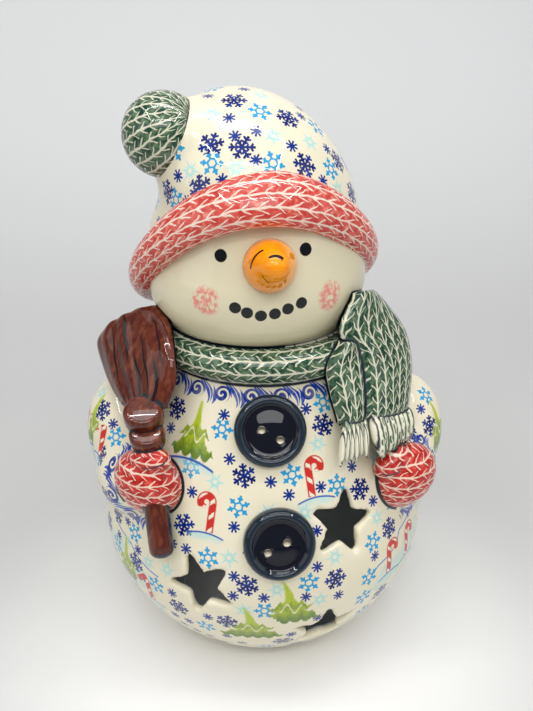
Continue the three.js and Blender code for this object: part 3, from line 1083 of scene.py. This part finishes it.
lay_aside()
bpy.ops.mesh.primitive_torus_add(
    major_segments=144, minor_segments=36, major_radius=SCARF_RADIUS * MM, minor_radius=MM,
)
scarf = bpy.context.object
scarf.name = "scarf_band"
for vertex in scarf.data.vertices:
    x, y, up = vertex.co / MM
    reach = math.hypot(x, y)
    out = SCARF_RADIUS + (reach - SCARF_RADIUS) * SCARF_HALF_THICKNESS
    place = Vector((x / reach * out, y / reach * out, up * SCARF_HALF_HEIGHT + SCARF_HEIGHT))
    vertex.co = AXIS + place * MM
bpy.ops.object.shade_smooth()
glaze, yarn = green_yarn(
    "green_knit_band", lambda u, v: v * 9, lambda u, v: abs(u - 0.75) * 60, layer="UVMap",
)
glaze.fire(scarf, relief=yarn, height=YARN_HEIGHT)


# The scarf's two ends hang over the shoulder on +X, the narrower one inside the other. Each is a slab
# of clay laid on the body, with its knit stopping at a seam and a fringe of strands below it.
OUTER_TAIL = (
    ((42, -38, 194), (51.5, -19, 188)),
    ((33, -48, 180), (69, -16, 168.5)),
    ((41.5, -48, 165.5), (73, -21, 153.5)),
    ((43.5, -53, 151.5), (71, -31, 143)),
    ((44, -59, 141), (68, -39, 134)),
)
INNER_TAIL = (
    ((33.5, -48.5, 174.5), (38.5, -45, 173.5)),
    ((26.8, -53.5, 165), (42.5, -46, 163.5)),
    ((28, -58, 155), (44, -50, 151)),
    ((32, -62.5, 141.5), (43, -57, 139.5)),
)
OUTER_FRINGE = ((44.5, -58, 141), (67.5, -38.5, 134), (48.5, -65, 127), (67, -44, 122), 8)
INNER_FRINGE = ((32, -61.5, 141.5), (43, -56, 139.5), (29, -69, 126), (43.5, -64, 127), 6)
OUTER_FRINGE_LOW = 125.5
INNER_FRINGE_LOW = 127.5
INTO_FIGURE = Vector((0, 0.92, -0.4))
FOLD_ROUND = 0.4
SIDE_FALL = 3.6
END_FALL = 1.8


def along(points, share):
    """A point that share of the way along a smooth line through the given points."""
    last = len(points) - 1
    place = min(max(share, 0), 1) * last
    number = min(int(place), last - 1)
    part = place - number
    before, start, end, after = (Vector(points[min(max(number + k, 0), last)]) for k in (-1, 0, 1, 2))
    return 0.5 * (
        2 * start + (end - before) * part
        + (2 * before - 5 * start + 4 * end - after) * part ** 2
        + (3 * start - before - 3 * end + after) * part ** 3
    )


def lay_slab(name, rows, depth, bulge, cuts, wave=0, waves=0):
    """Lays a slab of clay on the figure. Each row gives its left and right edge, seen from the front.

    Its points keep where they lay on the flat slab as "weave": side and up from -1 to 1 on its front,
    and on past that round its edges.
    """
    lay_aside()
    bpy.ops.mesh.primitive_cube_add(size=2)
    piece = bpy.context.object
    piece.name = name
    bpy.ops.object.mode_set(mode="EDIT")
    bpy.ops.mesh.select_all(action="SELECT")
    bpy.ops.mesh.subdivide(number_cuts=cuts)
    bpy.ops.object.mode_set(mode="OBJECT")
    left = [row[0] for row in rows]
    right = [row[1] for row in rows]
    flat = piece.data.attributes.new("weave", "FLOAT_VECTOR", "POINT")
    for vertex in piece.data.vertices:
        side, out, up = vertex.co
        round_side = math.copysign((1 - out) * FOLD_ROUND, side) if abs(side) > 0.999 else 0
        round_end = math.copysign((1 - out) * FOLD_ROUND / 2, up) if abs(up) > 0.999 else 0
        flat.data[vertex.index].vector = (side + round_side, up + round_end, out)
    for vertex in piece.data.vertices:
        side, out, up = vertex.co
        share = (1 - up) / 2
        start, end = along(left, share), along(right, share)
        run = along(left, min(share + 0.02, 1)) - along(left, max(share - 0.02, 0))
        run += along(right, min(share + 0.02, 1)) - along(right, max(share - 0.02, 0))
        face = (end - start).cross(run).normalized() * -1
        front = (1 + out) / 2
        crown = bulge * (1 - side * side) + wave * math.cos(waves * math.pi * side)
        lift = crown - SIDE_FALL * abs(side) ** 8 - END_FALL * abs(up) ** 14
        spot = start.lerp(end, (side + 1) / 2) + face * lift * front + INTO_FIGURE * depth * (1 - front)
        vertex.co = AXIS + spot * MM
    bpy.ops.object.mode_set(mode="EDIT")
    bpy.ops.mesh.select_all(action="SELECT")
    bpy.ops.mesh.normals_make_consistent(inside=False)
    bpy.ops.object.mode_set(mode="OBJECT")
    sponge(piece, 3)
    bpy.ops.object.shade_smooth()
    return piece


outer_tail = lay_slab("scarf_tail_outer", OUTER_TAIL, 20, 2.5, 29)
glaze, yarn = green_yarn("green_knit_outer_tail", lambda side, up: side * 3.6, lambda side, up: up * 5.2)
glaze.fire(outer_tail, relief=yarn, height=YARN_HEIGHT)
inner_tail = lay_slab("scarf_tail_inner", INNER_TAIL, 16, 2, 25)
glaze, yarn = green_yarn(
    "green_knit_inner_tail", lambda side, up: side * 1.9 + 0.5, lambda side, up: up * 3.6,
)
glaze.fire(inner_tail, relief=yarn, height=YARN_HEIGHT)


def fringe(name, left, right, drop_left, drop_right, count):
    """Strands side by side below a tail's seam, each a little shorter or longer than the next."""
    strands = []
    for number in range(count):
        share = (number + 0.5) / count
        top = Vector(left).lerp(Vector(right), share)
        bottom = Vector(drop_left).lerp(Vector(drop_right), share)
        run = (bottom - top) * (1 + 0.06 * math.cos(2.3 * number))
        turn = Vector((0, 0, -1)).rotation_difference(run).to_euler()
        middle = top + run * 0.46
        across = Vector(right) - Vector(left)
        wide = across.length / count * 0.8
        form = round_form("strand", middle, (wide, 3.0, run.length * 0.6), map(math.degrees, turn), 16, 14)
        weave = form.data.attributes.new("weave", "FLOAT_VECTOR", "POINT")
        for vertex in form.data.vertices:
            off = (vertex.co - AXIS) / MM - middle
            side = off.dot(across.normalized()) / wide
            weave.data[vertex.index].vector = (side, off.dot(run) / run.length_squared, number)
        strands.append(form)
    lay_aside()
    for strand in strands:
        strand.select_set(True)
    bpy.context.view_layer.objects.active = strands[0]
    bpy.ops.object.join()
    piece = bpy.context.object
    piece.name = name
    bpy.ops.object.shade_smooth()
    return piece


def paint_fringe(piece, low_end):
    """Cream strands with green brushed down them, a slate line between each two, and dots on the ends."""
    glaze = Glaze(piece.name + "_glaze", shade(226, 222, 198))
    side, _ = glaze.weave()
    wander = (glaze.noise(230, 2) - 0.5) * 0.9
    wide_streak = (abs(side + wander - 0.2) - 0.26).under(0, 0.12)
    thin_streak = (abs(side + wander + 0.3) - 0.1).under(0, 0.1)
    glaze.paint(wide_streak & glaze.noise(260, 1).over(0.3, 0.08), GREEN)
    glaze.paint(thin_streak & glaze.noise(300, 1).over(0.52, 0.06), GREEN_DARK)
    glaze.paint((abs(abs(side + wander * 0.4) - 0.66) - 0.12).under(0, 0.08), SLATE)
    up = glaze.place.across((0, 0, 1))
    dots = glaze.noise(640, 1).over(0.52, 0.05)
    glaze.paint(dots & up.under(low_end, 1.2), SLATE)
    glaze.paint(glaze.mark("edge").under(0.8, 0.3), SLATE)
    glaze.fire(piece)


outer_fringe = fringe("fringe_outer", *OUTER_FRINGE)
inner_fringe = fringe("fringe_inner", *INNER_FRINGE)
paint_fringe(outer_fringe, OUTER_FRINGE_LOW)
paint_fringe(inner_fringe, INNER_FRINGE_LOW)


# The broom in the mitten on -X: a brush of brown twigs spreading up over the shoulder, two binding
# rings, and a round handle through the fist. It is clay under a brown glaze, with the twigs scored in.
BRUSH = (
    ((-77, -10, 168), (-52, -20, 184)),
    ((-82.5, -11, 161), (-45.5, -31, 179.5)),
    ((-80, -16, 149.5), (-43, -46, 170)),
    ((-73.5, -30, 143.5), (-42.5, -52, 159)),
    ((-64.5, -42, 137.5), (-47.5, -56, 148.5)),
)
BINDINGS = (((-55, -53.5, 143.5), (8.8, 8, 5.6)), ((-53.7, -57, 135), (7.9, 7.6, 5)))
HANDLE_TOP = Vector((-54, -55, 134))
HANDLE_END = Vector((-49.5, -72.5, 88))
HANDLE_RADIUS = 5.6
HANDLE_END_ROWS = ((2.6, 5.5), (4.2, 4.6), (5.2, 3), (5.6, 1))
BINDING_PROFILE = (
    (-1, 0.72), (-0.96, 0.86), (-0.8, 0.96), (-0.5, 1), (0.5, 1), (0.8, 0.96), (0.96, 0.86), (1, 0.72),
)
BINDING_TILT = 28
BROWN = shade(98, 46, 32)
BROWN_RED = shade(74, 27, 17)
BROWN_PALE = shade(126, 70, 48)
TWIG_STROKES = (
    (-0.78, 0.0, 0.022), (-0.58, -0.2, 0.026), (-0.36, 0.05, 0.03), (-0.16, -0.35, 0.03), (0.04, 0.45, 0.045),
    (0.2, -0.4, 0.04), (0.44, -0.15, 0.028), (0.66, -0.5, 0.04), (0.8, 0.3, 0.02),
)


def brown_glaze(name):
    """A transparent brown glaze that breaks lighter where it runs thin."""
    glaze = Glaze(name, BROWN)
    glaze.paint(glaze.noise(120, 3, (1.6, 1.6, 0.5)).over(0.5, 0.12) * 0.85, BROWN_RED)
    glaze.paint(glaze.noise(170, 3, (2, 2, 0.4), (5, 5, 5)).over(0.58, 0.08) * 0.6, BROWN_PALE)
    return glaze


brush = lay_slab("broom_brush", BRUSH, 18, 3, 31, 0.45, 4)
glaze = brown_glaze("brown_glaze_twigs")
side, up = glaze.weave()
side = side + (glaze.noise(70, 1) - 0.5) * 0.25
strokes = None
for middle, height, thickness in TWIG_STROKES:
    reach = abs(up - height) / 0.5
    line = (abs(side - middle) - thickness + reach ** 2 * thickness).under(0, 0.015)
    strokes = line if strokes is None else strokes | line
glaze.paint(strokes, shade(28, 22, 26))
glaze.paint(glaze.mark("edge").under(1.2, 0.4), SLATE)
glaze.fire(brush, relief=strokes, height=-0.5)
bindings = []
for number, (middle, (wide, deep, high)) in enumerate(BINDINGS, start=1):
    binding_rows = [(0, 0, z * high, r * wide, r * deep) for z, r in BINDING_PROFILE]
    binding = raise_rings(f"broom_ring_{number}", binding_rows, 40)
    seat = Matrix.Translation(AXIS + Vector(middle) * MM)
    tilt = seat @ Matrix.Rotation(math.radians(BINDING_TILT), 4, "X")
    binding.data.transform(tilt @ Matrix.Translation(-AXIS))
    bindings.append(binding)
    bpy.ops.object.shade_smooth()
    glaze = brown_glaze(binding.name + "_glaze")
    glaze.paint(glaze.mark("edge").under(0.8, 0.4), SLATE)
    glaze.fire(binding)
handle_run = HANDLE_END - HANDLE_TOP
handle_length = handle_run.length
handle_rows = [(0, 0, 0, 5, 5), (0, 0, 1, 5.6, 5.6)]
handle_rows += [(0, 0, handle_length * k / 60, HANDLE_RADIUS, HANDLE_RADIUS) for k in range(2, 60)]
handle_rows += [(0, 0, handle_length + z, r, r) for z, r in HANDLE_END_ROWS]
handle = raise_rings("broom_handle", handle_rows, 32)
handle_turn = Vector((0, 0, 1)).rotation_difference(handle_run).to_matrix().to_4x4()
handle.data.transform(Matrix.Translation(AXIS + HANDLE_TOP * MM) @ handle_turn @ Matrix.Translation(-AXIS))
bpy.ops.object.shade_smooth()
glaze = brown_glaze("brown_glaze_handle")
way = handle_run.normalized()
sideways = way.cross(INTO_FIGURE).normalized()
start = AXIS / MM + HANDLE_TOP
aside = abs(glaze.place.across(sideways) - start.dot(sideways))
down = glaze.place.across(way) - start.dot(way)
glaze.paint(aside.over(HANDLE_RADIUS * 0.82, 0.4) | down.over(handle_length + 2.6, 0.6), SLATE)
glaze.paint(glaze.mark("edge").under(0.9, 0.4), SLATE)
glaze.fire(handle)


# The two mittens, a fist and a thumb of clay on each sleeve's end, one round the broom's handle. They
# are painted as red knitting, with a slate line where the thumb lies on the fist.
MITTEN_RED = shade(198, 50, 44)
MITTEN_DARK = shade(156, 28, 28)
MITTEN_ROW = 5.0
MITTEN_STITCH = 4.4
MITTEN_MIDDLES = ((-55, -56, 111), (64.5, -49, 105))
FIST = (17, 13, 17)
THUMB = (9.5, 6.5, 6)
THUMB_LINES = (
    ((142.5, 468.3), (155, 467.5), (163.3, 464.2), (167.5, 458.3), (165, 450)),
    ((382, 474), (388, 475.5), (394, 474.5), (400, 471.5)),
)


def paint_mitten(piece, middle):
    """Knits the mitten in rows round its own middle, and draws the line under the thumb."""
    glaze = Glaze(piece.name + "_glaze", MITTEN_RED)
    glaze.paint(glaze.noise(330, 3).over(0.5, 0.1) * 0.8, MITTEN_DARK)
    glaze.paint(glaze.noise(380, 2, shift=(3, 3, 3)).over(0.62, 0.08) * 0.5, shade(226, 128, 110))
    x, y = glaze.place.split()
    centre = AXIS + Vector(middle) * MM
    heading = (x - centre.x).turn_from(centre.y - y + 0.012)
    up = glaze.place.across((0, 0, 1))
    yarn = knit(glaze, up / MITTEN_ROW, heading * 21 / MITTEN_STITCH)
    glaze.paint(yarn * 0.9, shade(242, 214, 192))
    skin = skin_of(piece)
    spots = [seen(skin, *spot) for spot in THUMB_LINES[0 if middle[0] < 0 else 1]]
    glaze.paint(stroke(glaze, [spot for spot in spots if spot is not None], 0.4), SLATE)
    glaze.paint(glaze.mark("edge").under(0.9, 0.3), SLATE)
    glaze.fire(piece, relief=yarn, height=YARN_HEIGHT)


def mitten(name, side, middle, thumb_middle, thumb_tilt):
    hand = round_form("hand", middle, FIST, (18, 0, side * 38))
    thumb = round_form("thumb", thumb_middle, THUMB, (0, thumb_tilt, side * 20))
    piece = run_together(name, [hand, thumb], 0.9, 6)
    bpy.ops.object.shade_smooth()
    paint_mitten(piece, middle)
    return piece


mittens = [
    mitten("mitten_broom_side", -1, MITTEN_MIDDLES[0], (-52.5, -61.5, 126.5), 4),
    mitten("mitten_scarf_side", 1, MITTEN_MIDDLES[1], (56, -56, 117), -32),
]


# The two coat buttons, round discs of clay stuck on down the front. Each has a raised rim about a sunk
# face, glazed nearly black, and two thread holes where the light clay shows.
BUTTONS = ((0, 138), (2, 93))
BUTTON_RADIUS = 16
BUTTON_HOLES = (((261.6, 430), (280.4, 440)), ((287, 543), (268, 553)))
BUTTON_HOLE = 1.75
BUTTON_FACE = BUTTON_RADIUS - 3.6
BUTTON_ROWS = (
    (BUTTON_RADIUS, -5), (BUTTON_RADIUS, 0.6), (BUTTON_RADIUS - 0.2, 2), (BUTTON_RADIUS - 0.8, 3.2),
    (BUTTON_RADIUS - 1.7, 3.9), (BUTTON_RADIUS - 2.7, 4), (BUTTON_RADIUS - 3.6, 3.4),
    (BUTTON_RADIUS - 4.2, 2.6), (BUTTON_RADIUS - 4.9, 2.1), (BUTTON_RADIUS - 7, 2.1),
    (6, 2.5), (3, 2.7), (0.4, 2.75),
)


def button(name, angle, height, holes):
    """One button, seated on the body's wall, with its holes pressed in where they show."""
    piece = raise_rings(name, [(0, 0, z, r, r) for r, z in BUTTON_ROWS], 72)
    seat = body_place(angle, height, 1)
    piece.data.transform(seat @ Matrix.Translation(-AXIS))
    skin = skin_of(piece)
    spots = [seen(skin, *hole) for hole in holes]
    for spot in spots:
        hollow = (BUTTON_HOLE, BUTTON_HOLE, BUTTON_HOLE * 0.8)
        pit = round_form("pit", (0, 0, 0), hollow, segments=24, rings=16)
        pit.data.transform(Matrix.Translation(spot - AXIS))
        cut_away(piece, pit)
    lay_aside()
    piece.select_set(True)
    bpy.context.view_layer.objects.active = piece
    bpy.ops.object.shade_smooth()
    glaze = Glaze(name + "_glaze", shade(24, 36, 48))
    centre = seat.translation
    from_middle = glaze.place.away(centre)
    glaze.paint(from_middle.under(BUTTON_FACE, 0.5), shade(4, 11, 28))
    # Lighter blotches on the rim: a painted highlight over the rim's dark glaze.
    glaze.paint((glaze.noise(90, 3) * 0.25) & from_middle.over(BUTTON_FACE, 0.5), shade(48, 64, 76))
    for spot in spots:
        glaze.paint(glaze.place.away(spot).under(BUTTON_HOLE - 0.1, 0.2), shade(216, 206, 184))
    glaze.fire(piece)


for number, (place, holes) in enumerate(zip(BUTTONS, BUTTON_HOLES), start=1):
    button(f"button_{number}", *place, holes)


# Where forms meet, the painter covers the seam with a slate line. The body's collar and cuffs get a
# border of scrolls that starts at the line.
SCROLLS_ROUND = 25
COLLAR_EDGE = 155.5
COLLAR_SLOPE = 1.13
CUFF_DEPTH = 12
CUFF_RADIUS = 16
CUFF_STRETCH = 1.4


def lay_border(piece, cuffs):
    """Gives the body its border's frame: turns of the scroll along it, and mm from its edge."""
    skins = [(side, middle, skin_of(cuff)) for side, middle, cuff in cuffs]
    spots = []
    for vertex in piece.data.vertices:
        x, y, z = (vertex.co - AXIS) / MM
        turn = math.atan2(x, -y) / math.tau
        spot = (turn * SCROLLS_ROUND, (COLLAR_EDGE - z) * COLLAR_SLOPE)
        for side, middle, skin in skins:
            found, _, _, gap = skin.find_nearest(vertex.co, (CUFF_DEPTH + 2) * MM)
            if found is not None and side * (x - middle[0]) > -2 and math.hypot(x, y) > 60:
                away = Vector((x, z)) - Vector((middle[0], middle[2]))
                round_cuff = math.atan2(away.y, away.x * side) * CUFF_RADIUS / SCROLL_STEP * CUFF_STRETCH
                spot = (round_cuff + 0.25, gap / MM)
        spots.append(spot)
    layer = piece.data.uv_layers.new(name="Border").data
    for loop in piece.data.loops:
        layer[loop.index].uv = spots[loop.vertex_index]


lay_border(body, tuple(zip((-1, 1), MITTEN_MIDDLES, mittens)))
tails = (outer_tail, inner_tail, outer_fringe, inner_fringe)
mark_edges(body, head, scarf, *tails, brush, *bindings, handle, *mittens, backs=False)
for piece, *neighbours in (
    (head, scarf, outer_tail, brush),
    (nose, head),
    (pompom, crown),
    (scarf, head, body, outer_tail, inner_tail, brush),
    (outer_tail, body, head, inner_tail),
    (inner_tail, body, scarf, outer_tail),
    (outer_fringe, outer_tail),
    (inner_fringe, inner_tail),
    (brush, body, scarf, bindings[0]),
    (bindings[0], body, brush, bindings[1]),
    (bindings[1], body, bindings[0], mittens[0]),
    (handle, body, mittens[0]),
    (mittens[0], body, handle, bindings[1]),
    (mittens[1], body, outer_fringe),
):
    mark_edges(piece, *neighbours)


# A sheet of pale paper that sweeps up behind the figure, painted lighter round the figure's foot and towards
# the back as painted light; the soft light of a white tent, and a thin bright frame of strips above that the
# glaze mirrors.
SHEET_SIZE = 6.0
SHEET_BEND_START = 0.25
SHEET_BEND_RADIUS = 0.6
# The paper's tones step with distance from the figure as painted light: lighter in a pool round the foot and
# up the back.
PAPER_PAINTED_LIGHT_POOL = (0.83, 0.825, 0.81, 1)
PAPER_NEAR = (0.545, 0.545, 0.535, 1)
PAPER_MIDDLE = (0.56, 0.56, 0.555, 1)
PAPER_FAR = (0.78, 0.785, 0.785, 1)
TENT_COLOUR = (0.95, 0.97, 1.0, 1)
TENT_POWER = 0.27
LAMPS = (
    ("soft_top", (0, -0.2, 1.3), (0, 0, 0.1), 1.4, 1.4, 3.9),
    ("soft_left", (-1.2, -0.5, 0.7), (0, 0, 0.15), 0.9, 0.9, 2.2),
    ("soft_right", (1.2, -0.5, 0.7), (0, 0, 0.15), 0.9, 0.9, 1.8),
    ("soft_front", (0, -1.05, 1.05), (0, 0, 0.15), 0.9, 0.5, 4.6),
    ("soft_back", (0, -0.1, 1.5), (0, 0.85, 0.45), 0.8, 0.4, 3.0),
)
FRAME_MIDDLE = Vector((0, -0.4, 0.98))
FRAME_WIDTH = 1.1
FRAME_DEPTH = 0.64
STRIP = 0.011
STRIP_POWER = 1.9

lay_aside()
bpy.ops.mesh.primitive_grid_add(x_subdivisions=2, y_subdivisions=240, size=SHEET_SIZE)
sheet = bpy.context.object
sheet.name = "paper_sweep"
for vertex in sheet.data.vertices:
    run = vertex.co.y - SHEET_BEND_START
    if run > 0:
        bend = min(run / SHEET_BEND_RADIUS, math.pi / 2)
        rest = max(run - SHEET_BEND_RADIUS * math.pi / 2, 0)
        vertex.co.y = SHEET_BEND_START + SHEET_BEND_RADIUS * math.sin(bend)
        vertex.co.z = SHEET_BEND_RADIUS * (1 - math.cos(bend)) + rest
bpy.ops.object.shade_smooth()
paper = Glaze("paper_with_painted_light", PAPER_NEAR, 0.8)
paper.shader.inputs["Coat Weight"].default_value = 0.0
# Painted light: the paper is lighter in a pool round the figure's foot, against the figure's own shadow.
paper.paint(paper.place.away(AXIS - Vector((0, 40 * MM, 0))).under(125, 75), PAPER_PAINTED_LIGHT_POOL)
_, back = paper.place.split()
# Painted light: the paper steps lighter towards the back, where it sweeps up into a wall.
paper.paint((back / MM).over(160, 200), PAPER_MIDDLE)
paper.paint((back / MM).over(560, 240), PAPER_FAR)
paper.lay_on(sheet)

tent = bpy.data.worlds.new("tent")
tent.use_nodes = True
tent.node_tree.nodes["Background"].inputs["Color"].default_value = TENT_COLOUR
tent.node_tree.nodes["Background"].inputs["Strength"].default_value = TENT_POWER
bpy.context.scene.world = tent


def lamp(name, place, aim, size_x, size_y, power):
    """A flat lamp at a place in metres, turned to shine on its aim."""
    light = bpy.data.lights.new(name, "AREA")
    light.shape = "RECTANGLE"
    light.size = size_x
    light.size_y = size_y
    light.energy = power
    holder = bpy.data.objects.new(name, light)
    bpy.context.scene.collection.objects.link(holder)
    holder.location = place
    holder.rotation_euler = (Vector(aim) - Vector(place)).to_track_quat("-Z", "Y").to_euler()
    return holder


for row in LAMPS:
    lamp(*row)
for name, x, y, wide, deep in (
    ("strip_left", -FRAME_WIDTH / 2, 0, STRIP, FRAME_DEPTH),
    ("strip_right", FRAME_WIDTH / 2, 0, STRIP, FRAME_DEPTH),
    ("strip_near", 0, -FRAME_DEPTH / 2, FRAME_WIDTH, STRIP),
    ("strip_far", 0, FRAME_DEPTH / 2, FRAME_WIDTH, STRIP),
):
    strip = lamp(name, FRAME_MIDDLE + Vector((x, y, 0)), (0, 0, 0.15), wide, deep, STRIP_POWER)
    strip.rotation_euler = (0, 0, 0)

view = bpy.context.scene.view_settings
view.view_transform = "Standard"
view.look = "None"
